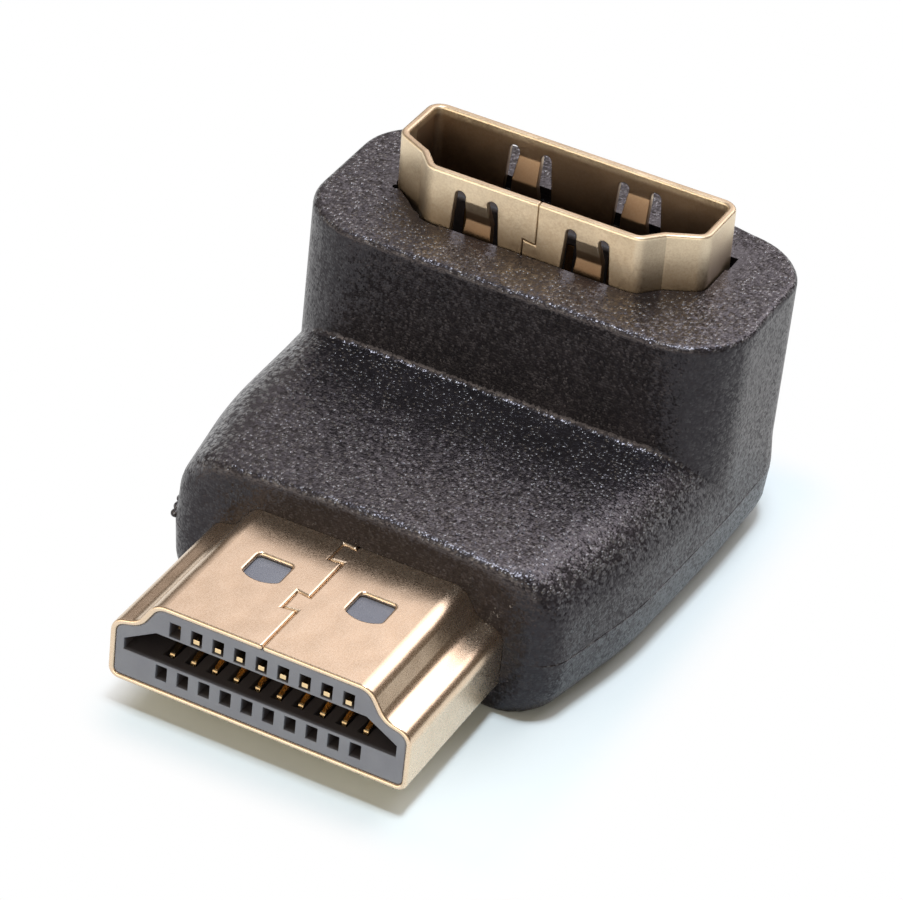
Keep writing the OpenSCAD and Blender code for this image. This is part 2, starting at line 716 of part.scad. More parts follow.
placed() moulded_body();
placed() plug_shell();
placed() plug_insulator();
placed() socket_shell();
placed() socket_insulator();
placed() circuit_board();
for (i = [0 : upper_n + lower_n - 1]) {
    placed() plug_contact(i);
    placed() socket_contact(i);
}
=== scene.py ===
import math
import bpy
import bmesh
from mathutils import Matrix, Vector


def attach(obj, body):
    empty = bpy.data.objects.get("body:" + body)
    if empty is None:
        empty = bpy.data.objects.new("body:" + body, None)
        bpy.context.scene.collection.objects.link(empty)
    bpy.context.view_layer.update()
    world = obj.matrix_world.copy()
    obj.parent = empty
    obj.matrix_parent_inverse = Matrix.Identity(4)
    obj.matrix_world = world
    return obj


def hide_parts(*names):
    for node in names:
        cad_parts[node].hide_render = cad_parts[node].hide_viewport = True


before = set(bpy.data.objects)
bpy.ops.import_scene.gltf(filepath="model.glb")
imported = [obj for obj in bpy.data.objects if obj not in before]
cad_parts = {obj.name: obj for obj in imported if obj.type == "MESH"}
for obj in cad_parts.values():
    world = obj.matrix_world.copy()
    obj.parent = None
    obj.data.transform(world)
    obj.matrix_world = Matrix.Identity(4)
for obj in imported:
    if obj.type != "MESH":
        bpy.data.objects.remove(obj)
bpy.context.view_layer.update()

# Camera: a long lens that looks down on the plug's right front corner, as the photograph was taken.
# Its place and turn, in metres, were worked out from the plug's and the socket's known outlines.
SENSOR_WIDTH = 36
PHOTO_WIDTH = 903
FOCAL_PIXELS = 4397.6
EYE = (0.0619815, -0.1410937, 0.1119537)
RIGHTWARDS = Vector((0.88523122, 0.45540563, 0.09471747))
UPWARDS = Vector((-0.32859207, 0.46811702, 0.82030099))
AHEAD = Vector((-0.32923082, 0.75727946, -0.56403448))
lens = bpy.data.cameras.new("camera")
lens.sensor_width = SENSOR_WIDTH
lens.lens = FOCAL_PIXELS / PHOTO_WIDTH * SENSOR_WIDTH
lens.clip_start = 0.01
lens.clip_end = 10
camera = bpy.data.objects.new("camera", lens)
bpy.context.scene.collection.objects.link(camera)
camera.matrix_world = Matrix.Translation(EYE) @ Matrix((RIGHTWARDS, UPWARDS, -AHEAD)).transposed().to_4x4()
bpy.context.scene.camera = camera

# Moulded body: black flexible plastic shot round the board and both connectors in one go. A lower
# arm flares back from the plug and an upright arm stands on its rear half. The mould halves met at
# the parting line, and the mould was spark-eroded, so the skin has a fine grain.

# all sizes are in millimetres from the middle of the plug's end, +Y to the back, until set_down
NOSE_HEIGHT = 3.45
FRONT_FACE, FRONT_WALL, BODY_END = 8.2, 19.45, 30.25
PARTING, TOP_FACE = -0.45, 9.12
HALF_WIDTH, PLUG_END_HALF = 10.55, 9.05
FLARE_LENGTH, FLARE_RISE, FLARE_BEND = 6.2, 1.2, 22
SIDE_EDGE, SIDE_EDGE_RISE, CROWN = 3.64, 0.14, 0.36
SIDE_ROUND, SIDE_ROUND_GROWTH, FLOOR_ROUND = 2.6, 0.5, 1.7
FRONT_EDGE, FRONT_CORNER = 0.4, 1.3
BACK_EDGE, BACK_CORNER = 1.2, 3.4
TUCK_LEVEL, TUCK_LENGTH = 0.5, 2.5
GROOVE_HALF, GROOVE_DEPTH = 0.04, 0.05
DRAFT = 0.1
WALL_STEP, UPPER_CORNER, TOP_EDGE = 0.1, 3.4, 0.32
CROWN_STEPS, SIDE_STEPS, FLOOR_STEPS = 12, 14, 10
STATION_STEP = 0.62
BODY_BLACK = (0.007, 0.0064, 0.008), (0.013, 0.0115, 0.014)


def make(name, verts, faces, edges=()):
    mesh = bpy.data.meshes.new(name)
    mesh.from_pydata([tuple(v) for v in verts], edges, faces)
    mesh.update()
    obj = bpy.data.objects.new(name, mesh)
    bpy.context.scene.collection.objects.link(obj)
    return obj


def face_out(obj):
    bm = bmesh.new()
    bm.from_mesh(obj.data)
    bmesh.ops.remove_doubles(bm, verts=bm.verts, dist=0.0005)
    bmesh.ops.recalc_face_normals(bm, faces=bm.faces)
    bm.to_mesh(obj.data)
    bm.free()


def skin(name, rings, ring_ends=False):
    """A closed surface over rings of points; with ring_ends the last ring meets the first."""
    n, m = len(rings[0]), len(rings)
    faces = []
    for k in range(m if ring_ends else m - 1):
        a, b = k * n, (k + 1) % m * n
        faces += [(a + i, a + (i + 1) % n, b + (i + 1) % n, b + i) for i in range(n)]
    if not ring_ends:
        faces += [tuple(range(n))[::-1], tuple((m - 1) * n + i for i in range(n))]
    obj = make(name, [p for ring in rings for p in ring], faces)
    face_out(obj)
    return obj


def block(name, x0, x1, y0, y1, z0, z1):
    return skin(name, [[(x0, y, z0), (x1, y, z0), (x1, y, z1), (x0, y, z1)] for y in (y0, y1)])


def upright(name, flat, z0, z1):
    return skin(name, [[(x, y, z0) for x, y in flat], [(x, y, z1) for x, y in flat]])


def applied(obj):
    """Makes the object's modifiers part of its mesh."""
    bpy.context.view_layer.update()
    ready = obj.evaluated_get(bpy.context.evaluated_depsgraph_get())
    mesh = bpy.data.meshes.new_from_object(ready)
    obj.modifiers.clear()
    old, obj.data = obj.data, mesh
    bpy.data.meshes.remove(old)
    return obj


def combine(obj, tools, operation):
    for tool in tools:
        m = obj.modifiers.new("combine", "BOOLEAN")
        m.operation, m.solver, m.object = operation, "EXACT", tool
        applied(obj)
        bpy.data.objects.remove(tool)
    return obj


def sliced(bm, point, way):
    """Gives the mesh an edge wherever a plane crosses it."""
    bmesh.ops.bisect_plane(bm, geom=bm.verts[:] + bm.edges[:] + bm.faces[:], plane_co=point, plane_no=way)


def smooth(obj, angle=35):
    """Smooth shading that leaves the flat faces flat and the corners sharp."""
    obj.data.shade_smooth()
    obj.data.set_sharp_from_angle(angle=math.radians(angle))
    m = obj.modifiers.new("normals", "WEIGHTED_NORMAL")
    m.keep_sharp, m.weight = True, 90
    applied(obj)


def dress(obj, finish):
    obj.data.materials.clear()
    obj.data.materials.append(finish)


def set_down(obj, slot, *nodes):
    """Moves the finished mesh to its place on the table and hands it to the frame."""
    obj.data.transform(Matrix.Scale(0.001, 4) @ Matrix.Translation((0, -BODY_END / 2, NOSE_HEIGHT)))
    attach(obj, "root")
    if nodes:
        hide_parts(*nodes)


def quarter(steps):
    """The angles of a quarter turn in equal steps."""
    return [math.radians(90 * i / steps) for i in range(steps + 1)]


def bend(a, p, b, r, steps):
    """Points of an arc of radius r that rounds the corner p between a and b."""
    a, p, b = Vector(a), Vector(p), Vector(b)
    u, v = (a - p).normalized(), (b - p).normalized()
    half = math.acos(max(-1, min(1, u.dot(v)))) / 2
    mid = p + (u + v).normalized() * r / math.sin(half)
    s, e = p + u * r / math.tan(half) - mid, p + v * r / math.tan(half) - mid
    a0 = math.atan2(s.y, s.x)
    sweep = (math.atan2(e.y, e.x) - a0 + math.pi) % (2 * math.pi) - math.pi
    angles = [a0 + sweep * i / steps for i in range(steps + 1)]
    return [(mid.x + r * math.cos(turn), mid.y + r * math.sin(turn)) for turn in angles]


def outline(corners, inward=0.0, steps=8):
    """A counter-clockwise outline from corners (x, y, radius), moved inwards."""
    n = len(corners)
    xy = [Vector(c[:2]) for c in corners]
    moved, convex = [], []
    for i in range(n):
        u, v = (xy[i] - xy[i - 1]).normalized(), (xy[(i + 1) % n] - xy[i]).normalized()
        left = Vector((-u.y - v.y, u.x + v.x))
        moved.append(xy[i] + left * inward / (1 + u.dot(v)))
        convex.append(u.x * v.y - u.y * v.x > 0)
    points = []
    for i in range(n):
        r = max(0.02, corners[i][2] + (-inward if convex[i] else inward))
        points += bend(moved[i - 1], moved[i], moved[(i + 1) % n], r, steps)
    return points


def between(table, y):
    """The value at y in a table of (y, value), on straight lines between its rows."""
    for (a, fa), (b, fb) in zip(table, table[1:]):
        if y <= b:
            return fa + (fb - fa) * (y - a) / (b - a)
    return table[-1][1]


def round_in(r, d):
    """How far a rounding of radius r draws in, at the distance d from its start."""
    return 0 if d >= r else r - math.sqrt(r * r - (r - d) ** 2)


def share(value, start, length):
    """How far a value has come along a length, from 0 to 1."""
    return max(0, min(1, (value - start) / length))


# how wide the lower arm's flanks are, from the plug's end over the flare to the back
plug_end, flare_end = (FRONT_FACE, PLUG_END_HALF), (FRONT_FACE + FLARE_LENGTH, PLUG_END_HALF + FLARE_RISE)
full_width = (FRONT_WALL + UPPER_CORNER, HALF_WIDTH)
flank = [(FRONT_FACE - 1, PLUG_END_HALF - FLARE_RISE / FLARE_LENGTH)]
flank += bend(plug_end, flare_end, full_width, FLARE_BEND, 14) + [full_width, (BODY_END + 1, HALF_WIDTH)]


def arm_section(y):
    """The lower arm's outline at y: its crowned top, long round, parting groove and rounded floor."""
    from_front, from_back = y - FRONT_FACE, BODY_END - y
    along = share(y, FRONT_FACE, FRONT_WALL - FRONT_FACE)
    w = between(flank, y) - round_in(FRONT_CORNER, from_front) - round_in(BACK_CORNER, from_back)
    edge, crown = SIDE_EDGE + along * SIDE_EDGE_RISE, (1 - along) * CROWN
    tuck = (edge - PARTING - TUCK_LEVEL) * round_in(1, from_back / TUCK_LENGTH)
    top = edge - round_in(FRONT_EDGE, from_front) - tuck
    low = -NOSE_HEIGHT + round_in(FRONT_EDGE, from_front) + round_in(BACK_EDGE, from_back)
    squash = (top - PARTING) / (edge - PARTING)
    r = SIDE_ROUND + SIDE_ROUND_GROWTH * along
    flat = w - DRAFT - r
    half = [(flat * i / CROWN_STEPS, top + squash * crown * (1 - (i / CROWN_STEPS) ** 2))
            for i in range(CROWN_STEPS + 1)]
    half += [(flat + r * math.sin(a), top - squash * r * (1 - math.cos(a)))
             for a in quarter(SIDE_STEPS)[1:]]
    half += [(w, PARTING + GROOVE_HALF), (w - GROOVE_DEPTH, PARTING), (w, PARTING - GROOVE_HALF)]
    half += [(w - DRAFT - FLOOR_ROUND * (1 - math.cos(a)), low + FLOOR_ROUND * (1 - math.sin(a)))
             for a in quarter(FLOOR_STEPS)]
    return [(x, y, z) for x, z in half] + [(-x, y, z) for x, z in half[:0:-1]]


def shrunk(ring, part):
    mid = sum((Vector(p) for p in ring), Vector()) / len(ring)
    return [mid + (Vector(p) - mid) * part for p in ring]


# sections of the lower arm, close together where its ends are rounded
turn = [1 - math.cos(a) for a in quarter(8)]
stations = [FRONT_FACE + FRONT_EDGE * t for t in turn]
stations += [FRONT_FACE + e for e in (0.5, 0.65, 0.85, 1.05, FRONT_CORNER)]
stations += [stations[-1] + STATION_STEP * i for i in range(1, 28)]
stations += [BODY_END - BACK_CORNER * t for t in turn[::-1]]
sections = [arm_section(y) for y in stations]
lower_arm = skin("lower_arm", [shrunk(sections[0], 0.99)] + sections)


def upper_ring(z, inward):
    """The upper arm's outline from above, at z."""
    side, front, r = HALF_WIDTH - WALL_STEP - inward, FRONT_WALL + inward, UPPER_CORNER - inward
    back = BODY_END - WALL_STEP - inward
    corners = [(side, front, r), (side, back, r), (-side, back, r), (-side, front, r)]
    return [(x, y, z) for x, y in outline(corners, 0, 14)]


levels = [(PARTING - 0.8, 1), (PARTING, 0)] + [(PARTING + 1 + i, 0) for i in range(8)]
levels += [(TOP_FACE - TOP_EDGE * (1 - math.sin(a)), TOP_EDGE * (1 - math.cos(a))) for a in quarter(7)]
levels += [(TOP_FACE, TOP_EDGE + 0.08)]
upper_arm = skin("upper_arm", [upper_ring(z, inward) for z, inward in levels])
body = combine(lower_arm, [upper_arm], "UNION")
body.name = "moulding"

# how far the hot moulding sagged: aside, and at the back outwards and up in the middle of a bow
ASIDE, LEAN, LEAN_LENGTH = 0.05, 0.1, 11
BOW, BOW_START, BOW_LENGTH, BOW_HALF_WIDTH, BOW_AT_FLOOR = 0.6, 24, 5, 7.6, 0.3
BACK_SHRINK = 0.22
LIFT, BOW_LIFT, LIFT_START, LIFT_LENGTH, LIFT_HEIGHT = 0.1, 0.12, 22, 7, 9
CUT_STEP, BACK_CUTS = 0.8, (22, 23.5, 25, 26.5, 28)


def settled(obj):
    """Moves a skin as the moulding cooled: the rear leans a little aside, the back bows out and up."""
    bm = bmesh.new()
    bm.from_mesh(obj.data)
    for i in range(-11, 12):
        sliced(bm, (CUT_STEP * i, 0, 0), (1, 0, 0))
    for y in BACK_CUTS:
        sliced(bm, (0, y, 0), (0, 1, 0))
    for v in bm.verts:
        x, y, z = v.co
        height = share(z, PARTING, LIFT_HEIGHT)
        bow = max(0, 1 - (x / BOW_HALF_WIDTH) ** 4) ** 2 * (BOW_AT_FLOOR + (1 - BOW_AT_FLOOR) * height)
        v.co.x += ASIDE + LEAN * share(y, FRONT_FACE, LEAN_LENGTH)
        v.co.y += (BOW * bow - BACK_SHRINK) * share(y, BOW_START, BOW_LENGTH) ** 2
        v.co.z += (LIFT + BOW_LIFT * bow) * share(y, LIFT_START, LIFT_LENGTH) * height
    bm.to_mesh(obj.data)
    bm.free()
    return obj


settled(body)

# a small fillet where the upper arm rises from the lower one, as the mould had at its inner corner
FILLET, FILLET_END, FILLET_BACK, FILLET_ROOT, FILLET_IN_WALL = 0.24, 0.01, 22.3, 0.15, 0.1
CORNER_X, CORNER_Y = HALF_WIDTH - WALL_STEP - UPPER_CORNER, FRONT_WALL + UPPER_CORNER


def top_height(x, y):
    """How high the lower arm's top is at x and y."""
    top_half = arm_section(y)[:CROWN_STEPS + 1 + SIDE_STEPS]
    return between([(px, pz) for px, _, pz in top_half], abs(x))


fillet_rings = []
for x, y, _ in sorted([p for p in upper_ring(0, 0) if p[1] < FILLET_BACK], key=lambda p: p[0]):
    out = Vector((0, -1, 0))
    if abs(x) > CORNER_X:
        out = Vector((x - math.copysign(CORNER_X, x), y - CORNER_Y, 0)).normalized()
    r = FILLET * (1 - (max(0, abs(x) - CORNER_X) / UPPER_CORNER) ** 3) + FILLET_END
    foot = top_height(x, y)
    ring = [Vector((x, y, foot + r)) - out * FILLET_IN_WALL]
    for a in quarter(6):
        reach = r * (1 - math.cos(a))
        near = top_height(x + out.x * reach, y + out.y * reach)
        ring.append(Vector((x, y, near + r * (1 - math.sin(a)))) + out * reach)
    ring.append(ring[-1] - Vector((0, 0, FILLET_ROOT)))
    ring.append(Vector((x, y, foot - FILLET_ROOT)) - out * FILLET_IN_WALL)
    fillet_rings.append(ring)
fillet = settled(skin("fillet", fillet_rings))

# the outlines of the plug's and the socket's shells: corners from the wide side, with their radii
NOSE = [(6.95, -2.225, 0.5), (6.95, 0.665, 0.75), (5.7, 1.005, 0.9), (4.95, 2.225, 0.9)]
NOSE += [(-x, z, r) for x, z, r in NOSE[::-1]]
SOCKET = [(7.11, -2.275, 0.4), (7.11, 0.555, 0.4), (5.64, 1.375, 0.4), (4.89, 2.275, 0.4)]
SOCKET += [(-x, z, r) for x, z, r in SOCKET[::-1]]
SOCKET_FRONT, SOCKET_HALF_DEPTH = 22.42, 2.635
SOCKET_MID = SOCKET_FRONT + SOCKET_HALF_DEPTH
SOCKET_SHEET = 0.36


def nose_ring(y, inward):
    return [(x, y, z) for x, z in outline(NOSE, inward)]


def socket_ring(z, inward):
    return [(x, SOCKET_MID - y, z) for x, y in outline(SOCKET, inward)]


# the room that the plug, the socket and the board take up, and the gaps that shrinkage left beside
# the socket: a pit and a slit at its left shoulder, and a notch behind its right corner
FIT, LIP_GAP, LIP_FLOOR = 0.01, 0.06, 8.62
NOSE_ROOM, NOSE_END = 8, 13.2
BOARD_FRONT, BOARD_BACK, BOARD_HALF_WIDTH, BOARD_HALF = 13.3, 29, 8.8, 0.4
GAP_FLOOR, CLEAR_TOP = 8.6, 10
NOTCH_X, NOTCH_Y = (7.2, 7.66), (26.44, 27.54)
PIT_X, PIT_Y, PIT_R = -7.34, 24.12, 0.17
SLIT = [(-7.1, 24.02), (-6.4, 23.42), (-5.8, 22.84), (-5.56, 22.76), (-5.3, 22.42), (-4.84, 22.28),
        (-4.3, 22.24), (-4.3, 22.6), (-6.7, 24.4)]
pit = [(PIT_X + PIT_R * math.cos(math.radians(30 * k)), PIT_Y + PIT_R * math.sin(math.radians(30 * k)))
       for k in range(12)]
close, loose = SOCKET_SHEET + FIT, SOCKET_SHEET + LIP_GAP
socket_room = [(BOARD_HALF, close), (LIP_FLOOR, close), (LIP_FLOOR + 0.01, loose), (CLEAR_TOP, loose)]
rooms = [skin("nose_room", [nose_ring(y, -FIT) for y in (NOSE_ROOM, NOSE_END)]),
         skin("socket_room", [socket_ring(z, -outward) for z, outward in socket_room]),
         upright("shoulder_pit", pit, GAP_FLOOR, CLEAR_TOP),
         upright("shoulder_slit", SLIT, GAP_FLOOR, CLEAR_TOP),
         block("notch", *NOTCH_X, *NOTCH_Y, GAP_FLOOR, CLEAR_TOP),
         block("board_room", -BOARD_HALF_WIDTH, BOARD_HALF_WIDTH, BOARD_FRONT, BOARD_BACK,
               -BOARD_HALF, BOARD_HALF)]
combine(body, rooms, "DIFFERENCE")
joined = bmesh.new()
joined.from_mesh(body.data)
joined.from_mesh(fillet.data)
joined.to_mesh(body.data)
joined.free()
bpy.data.objects.remove(fillet)
smooth(body)


def node(tree, kind, values=(), **settings):
    """A node with its settings, and its inputs' values or the sockets they come from."""
    made = tree.nodes.new(kind)
    for key, value in settings.items():
        setattr(made, key, value)
    for key, value in dict(values).items():
        if isinstance(value, bpy.types.NodeSocket):
            tree.links.new(value, made.inputs[key])
        else:
            made.inputs[key].default_value = value
    return made


def calc(tree, operation, a, b=0.0, c=None):
    values = {0: a, 1: b} if c is None else {0: a, 1: b, 2: c}
    return node(tree, "ShaderNodeMath", values, operation=operation).outputs[0]


def vector(tree, operation, a, b=None):
    """The result of a Vector Math node; b is a vector, or the factor that scales a."""
    values = {0: a}
    if b is not None:
        values["Scale" if operation == "SCALE" else 1] = b
    made = node(tree, "ShaderNodeVectorMath", values, operation=operation)
    return made.outputs["Value" if operation in ("DOT_PRODUCT", "LENGTH") else "Vector"]


def span(tree, value, low, high, to_low, to_high, shape="SMOOTHSTEP"):
    return node(tree, "ShaderNodeMapRange", {"Value": value, "From Min": low, "From Max": high,
                                             "To Min": to_low, "To Max": to_high},
                interpolation_type=shape).outputs[0]


def spot_in(tree):
    return node(tree, "ShaderNodeTexCoord").outputs["Object"]


def axes(tree, socket):
    return node(tree, "ShaderNodeSeparateXYZ", {0: socket}).outputs


def noise(tree, spot, scale, detail, roughness=0.5):
    return node(tree, "ShaderNodeTexNoise", {"Vector": spot, "Scale": scale, "Detail": detail,
                                             "Roughness": roughness}).outputs["Fac"]


def material(name, settings=()):
    """A material with one shader and the settings that are the same all over the surface."""
    m = bpy.data.materials.new(name)
    m.use_nodes = True
    m.node_tree.nodes.clear()
    shader = node(m.node_tree, "ShaderNodeBsdfPrincipled", settings)
    node(m.node_tree, "ShaderNodeOutputMaterial", {"Surface": shader.outputs["BSDF"]})
    return m, m.node_tree, shader


def coloured(tree, shader, tone, colours, low=0.3, high=0.7):
    """Gives the shader the first colour where the tone is low, and the second where it is high."""
    made = node(tree, "ShaderNodeValToRGB", {"Fac": tone})
    for element, position, colour in zip(made.color_ramp.elements, (low, high), colours):
        element.position = position
        element.color = (*colour, 1)
    tree.links.new(made.outputs["Color"], shader.inputs["Base Color"])


def bumped(tree, shader, height, depth, strength=1.0, **over):
    """Raises the surface by the height, in metres at depth, over its plain or another normal."""
    values = {"Height": height, "Strength": strength, "Distance": depth, **over}
    tree.links.new(node(tree, "ShaderNodeBump", values).outputs["Normal"], shader.inputs["Normal"])


def effect(name, inputs, outputs):
    """A group of nodes that several materials use, with its inputs' and its outputs' sockets."""
    tree = bpy.data.node_groups.new(name, "ShaderNodeTree")
    for key, value in inputs.items():
        made = tree.interface.new_socket(key, in_out="INPUT", socket_type="NodeSocketFloat")
        made.default_value = value
    for key, kind in outputs.items():
        tree.interface.new_socket(key, in_out="OUTPUT", socket_type="NodeSocket" + kind)
    return tree, tree.nodes.new("NodeGroupInput").outputs, tree.nodes.new("NodeGroupOutput").inputs


def add_effect(tree, group, values=()):
    made = node(tree, "ShaderNodeGroup", node_tree=group)
    for key, value in dict(values).items():
        made.inputs[key].default_value = value
    return made.outputs


# the grain of a spark-eroded mould: small facets, each with its own tilt, and finer roughness on them
grain, given, result = effect("eroded grain", {"Count": 8000.0},
                              {"Height": "Float", "Tone": "Float", "Facet": "Vector"})
spot = spot_in(grain)
cell = node(grain, "ShaderNodeTexVoronoi", {"Vector": spot, "Scale": given["Count"]}).outputs
facet = vector(grain, "SUBTRACT", cell["Color"], (0.5, 0.5, 0.5))
dome = calc(grain, "MULTIPLY", calc(grain, "MULTIPLY", cell["Distance"], cell["Distance"]), -1.0)
fine = noise(grain, spot, given["Count"], 2.0)
grain.links.new(calc(grain, "ADD", dome, fine), result["Height"])
grain.links.new(facet, result["Facet"])
grain.links.new(noise(grain, spot, 600.0, 2.0), result["Tone"])

# how far a point lies outside the socket's outline, seen from above, in metres: each side of the
# outline has the direction that it faces, across and to the front, and its distance from the middle
SOCKET_SIDES = ((1.0, 0.0, 0.00744), (0.486, 0.874, 0.004285), (0.768, 0.64, 0.00554))
SOCKET_FRONT_AND_BACK = 0.00264
from_socket, _, result = effect("socket distance", {}, {"Distance": "Float"})
place = axes(from_socket, spot_in(from_socket))
across = calc(from_socket, "ABSOLUTE", place["X"])
forward = calc(from_socket, "SUBTRACT", (SOCKET_MID - BODY_END / 2) / 1000, place["Y"])
far = calc(from_socket, "SUBTRACT", calc(from_socket, "ABSOLUTE", forward), SOCKET_FRONT_AND_BACK)
for facing_x, facing_y, distance in SOCKET_SIDES:
    along = calc(from_socket, "MULTIPLY", forward, facing_y)
    along = calc(from_socket, "MULTIPLY_ADD", across, facing_x, along)
    far = calc(from_socket, "MAXIMUM", far, calc(from_socket, "SUBTRACT", along, distance))
from_socket.links.new(far, result["Distance"])

moulding, tree, shader = material("black eroded moulding", {
    "Coat Roughness": 0.28, "Coat IOR": 1.75, "IOR": 1.5, "Specular Tint": (0.94, 0.9, 1.0, 1.0)})
skin_grain = add_effect(tree, grain, {"Count": 8200.0})
spot = spot_in(tree)
normal = node(tree, "ShaderNodeNewGeometry").outputs["Normal"]
coloured(tree, shader, skin_grain["Tone"], BODY_BLACK)

# the mould was polished where it shut against the socket, which left a ragged, smoother land on the
# top face; these sizes are in metres, as a material reads the finished piece
LAND_START, LAND_END, LAND_RAGGED, LAND_LOW = 0.0011, 0.0019, 0.0012, 0.0124
far = add_effect(tree, from_socket)["Distance"]
ragged = calc(tree, "MULTIPLY_ADD", skin_grain["Tone"], LAND_RAGGED, far)
land = span(tree, ragged, LAND_START, LAND_END, 1.0, 0.0)
land = calc(tree, "MULTIPLY", land, calc(tree, "GREATER_THAN", axes(tree, spot)["Z"], LAND_LOW))


def by_land(eroded, polished):
    """A value that differs between the eroded skin and the polished land."""
    return span(tree, land, 0.0, 1.0, eroded, polished, "LINEAR")


tree.links.new(by_land(0.3, 0.22), shader.inputs["Roughness"])
leaning = vector(tree, "ADD", normal, vector(tree, "SCALE", skin_grain["Facet"], by_land(0.4, 0.15)))
bumped(tree, shader, calc(tree, "MULTIPLY", skin_grain["Height"], by_land(1.0, 0.22)), 0.000016,
       Normal=vector(tree, "NORMALIZE", leaning))

# small round pimples from the mould's pits, each tilted away from its middle: many on the faces that
# look up, fewer on the land, hardly any on the steep faces; the pimples are grain, but their thinning on
# steep faces and the steep faces' lower reflectivity are painted sheen, standing in for how the light
# falls on the tops and the walls
PIMPLES, PIMPLE_STEEPNESS = 4500.0, 2.0
cell = node(tree, "ShaderNodeTexVoronoi", {"Vector": spot, "Scale": PIMPLES}).outputs
pimple = span(tree, axes(tree, cell["Color"])["X"], 0.3, 0.36, 0.0, 1.0)
pimple = calc(tree, "MULTIPLY", pimple, span(tree, cell["Distance"], 0.45, 0.65, 1.0, 0.0))
from_middle = vector(tree, "SUBTRACT", spot, cell["Position"])
raised = vector(tree, "ADD", normal, vector(tree, "SCALE", from_middle, PIMPLES * PIMPLE_STEEPNESS))
tree.links.new(vector(tree, "NORMALIZE", raised), shader.inputs["Coat Normal"])
# painted sheen: the faces that look up are made more reflective than the steep ones
upward_sheen = span(tree, axes(tree, normal)["Z"], 0.25, 0.8, 0.08, 1.0)
tree.links.new(span(tree, upward_sheen, 0.0, 1.0, 0.3, 0.85, "LINEAR"), shader.inputs["Specular IOR Level"])
upward_sheen = calc(tree, "MULTIPLY", upward_sheen, by_land(1.0, 0.25))
tree.links.new(calc(tree, "MULTIPLY", upward_sheen, pimple), shader.inputs["Coat Weight"])
dress(body, moulding)
set_down(body, "moulding", "moulded_body")

# Flash: a few small lumps of the body's plastic that the mould halves squeezed out between them at
# the left front corner. They sit on the parting line and were never trimmed off.
LUMPS, LUMP_RADIUS = 4, 0.27
FLASH_START, FLASH_STEP, FLASH_OUT = 9.3, 0.4, 0.08


def piece_tree(name, inputs, output):
    """A Geometry Nodes tree with named inputs, and the sockets of its inputs and its output."""
    tree = bpy.data.node_groups.new(name, "GeometryNodeTree")
    for key, kind in inputs.items():
        tree.interface.new_socket(key, in_out="INPUT", socket_type="NodeSocket" + kind)
    tree.interface.new_socket(output, in_out="OUTPUT", socket_type="NodeSocketGeometry")
    return tree, tree.nodes.new("NodeGroupInput").outputs, tree.nodes.new("NodeGroupOutput").inputs[output]


def made_real(tree, copies, finish, end):
    real = node(tree, "GeometryNodeRealizeInstances", {"Geometry": copies}).outputs[0]
    done = node(tree, "GeometryNodeSetMaterial", {"Geometry": real, "Material": finish}).outputs[0]
    tree.links.new(done, end)


def grown(obj, tree, **values):
    """Runs the tree over the object with the given inputs, and keeps what it makes as a mesh."""
    m = obj.modifiers.new(tree.name, "NODES")
    m.node_group = tree
    for socket in tree.interface.items_tree:
        if socket.name in values:
            m[socket.identifier] = values[socket.name]
    return applied(obj)


# lumps along a path: how many, how big, and in which material
lumps, given, end = piece_tree("flash along the parting line", {
    "Path": "Geometry", "Count": "Int", "Radius": "Float", "Material": "Material"}, "Lumps")
curve = node(lumps, "GeometryNodeMeshToCurve", {"Mesh": given["Path"]}).outputs[0]
points = node(lumps, "GeometryNodeCurveToPoints", {"Curve": curve, "Count": given["Count"]}).outputs[0]
lump = node(lumps, "GeometryNodeMeshIcoSphere", {"Radius": given["Radius"], "Subdivisions": 3}).outputs[0]
size = node(lumps, "FunctionNodeRandomValue", {"Seed": 7, 0: (0.8, 0.85, 0.6), 1: (1.0, 1.15, 0.9)},
            data_type="FLOAT_VECTOR").outputs[0]
copies = node(lumps, "GeometryNodeInstanceOnPoints", {"Points": points, "Instance": lump, "Scale": size})
made_real(lumps, copies.outputs[0], given["Material"], end)

flash_path = []
for i in range(5):
    y = FLASH_START + FLASH_STEP * i
    side = between(flank, y) - round_in(FRONT_CORNER, y - FRONT_FACE) + FLASH_OUT * (y - FLASH_START)
    flash_path.append((-side, y, PARTING))
flash = make("parting_flash", flash_path, [], [(i, i + 1) for i in range(4)])
settled(grown(flash, lumps, Count=LUMPS, Radius=LUMP_RADIUS, Material=moulding))
smooth(flash)
set_down(flash, "moulding")

# Plug shell: thin sheet folded round the plug's core, its edges locked by two dovetails, with two
# windows for the mating socket's springs. It is plated pale gold, satin, and finely speckled.
SHEET, SHEET_LIP, SHEET_EDGE = 0.25, 0.11, 0.12
SEAM_GAP, SEAM_FLOOR, SEAM_TOP = 0.03, 1.9, 2.4
LOCK_PLACES, LOCK_LENGTH, LOCK_REACH, LOCK_FLARE = (3.45, 7.4), 1.3, 0.62, 0.1
WINDOW_X, WINDOW_HALF, WINDOW_BOW, WINDOW_ROUND = 2.4, 0.825, 0.32, 0.2
WINDOW_FRONT, WINDOW_BACK = 4.15, 5.55
PALE_GOLD = (0.78, 0.61, 0.44), (0.84, 0.68, 0.51)


def folded(name, ring_at, start, end, sheet, lip):
    """A tube of sheet with a rounded lip at start: ring_at(height, inward) gives its outlines."""
    way = 1 if end > start else -1
    lips = [(start + way * lip * (1 - math.sin(a)), lip * (1 - math.cos(a))) for a in quarter(5)]
    rings = [ring_at(end, 0)] + [ring_at(h, d) for h, d in lips]
    rings += [ring_at(h, sheet - d) for h, d in lips[::-1]] + [ring_at(end, sheet)]
    return skin(name, rings, ring_ends=True)


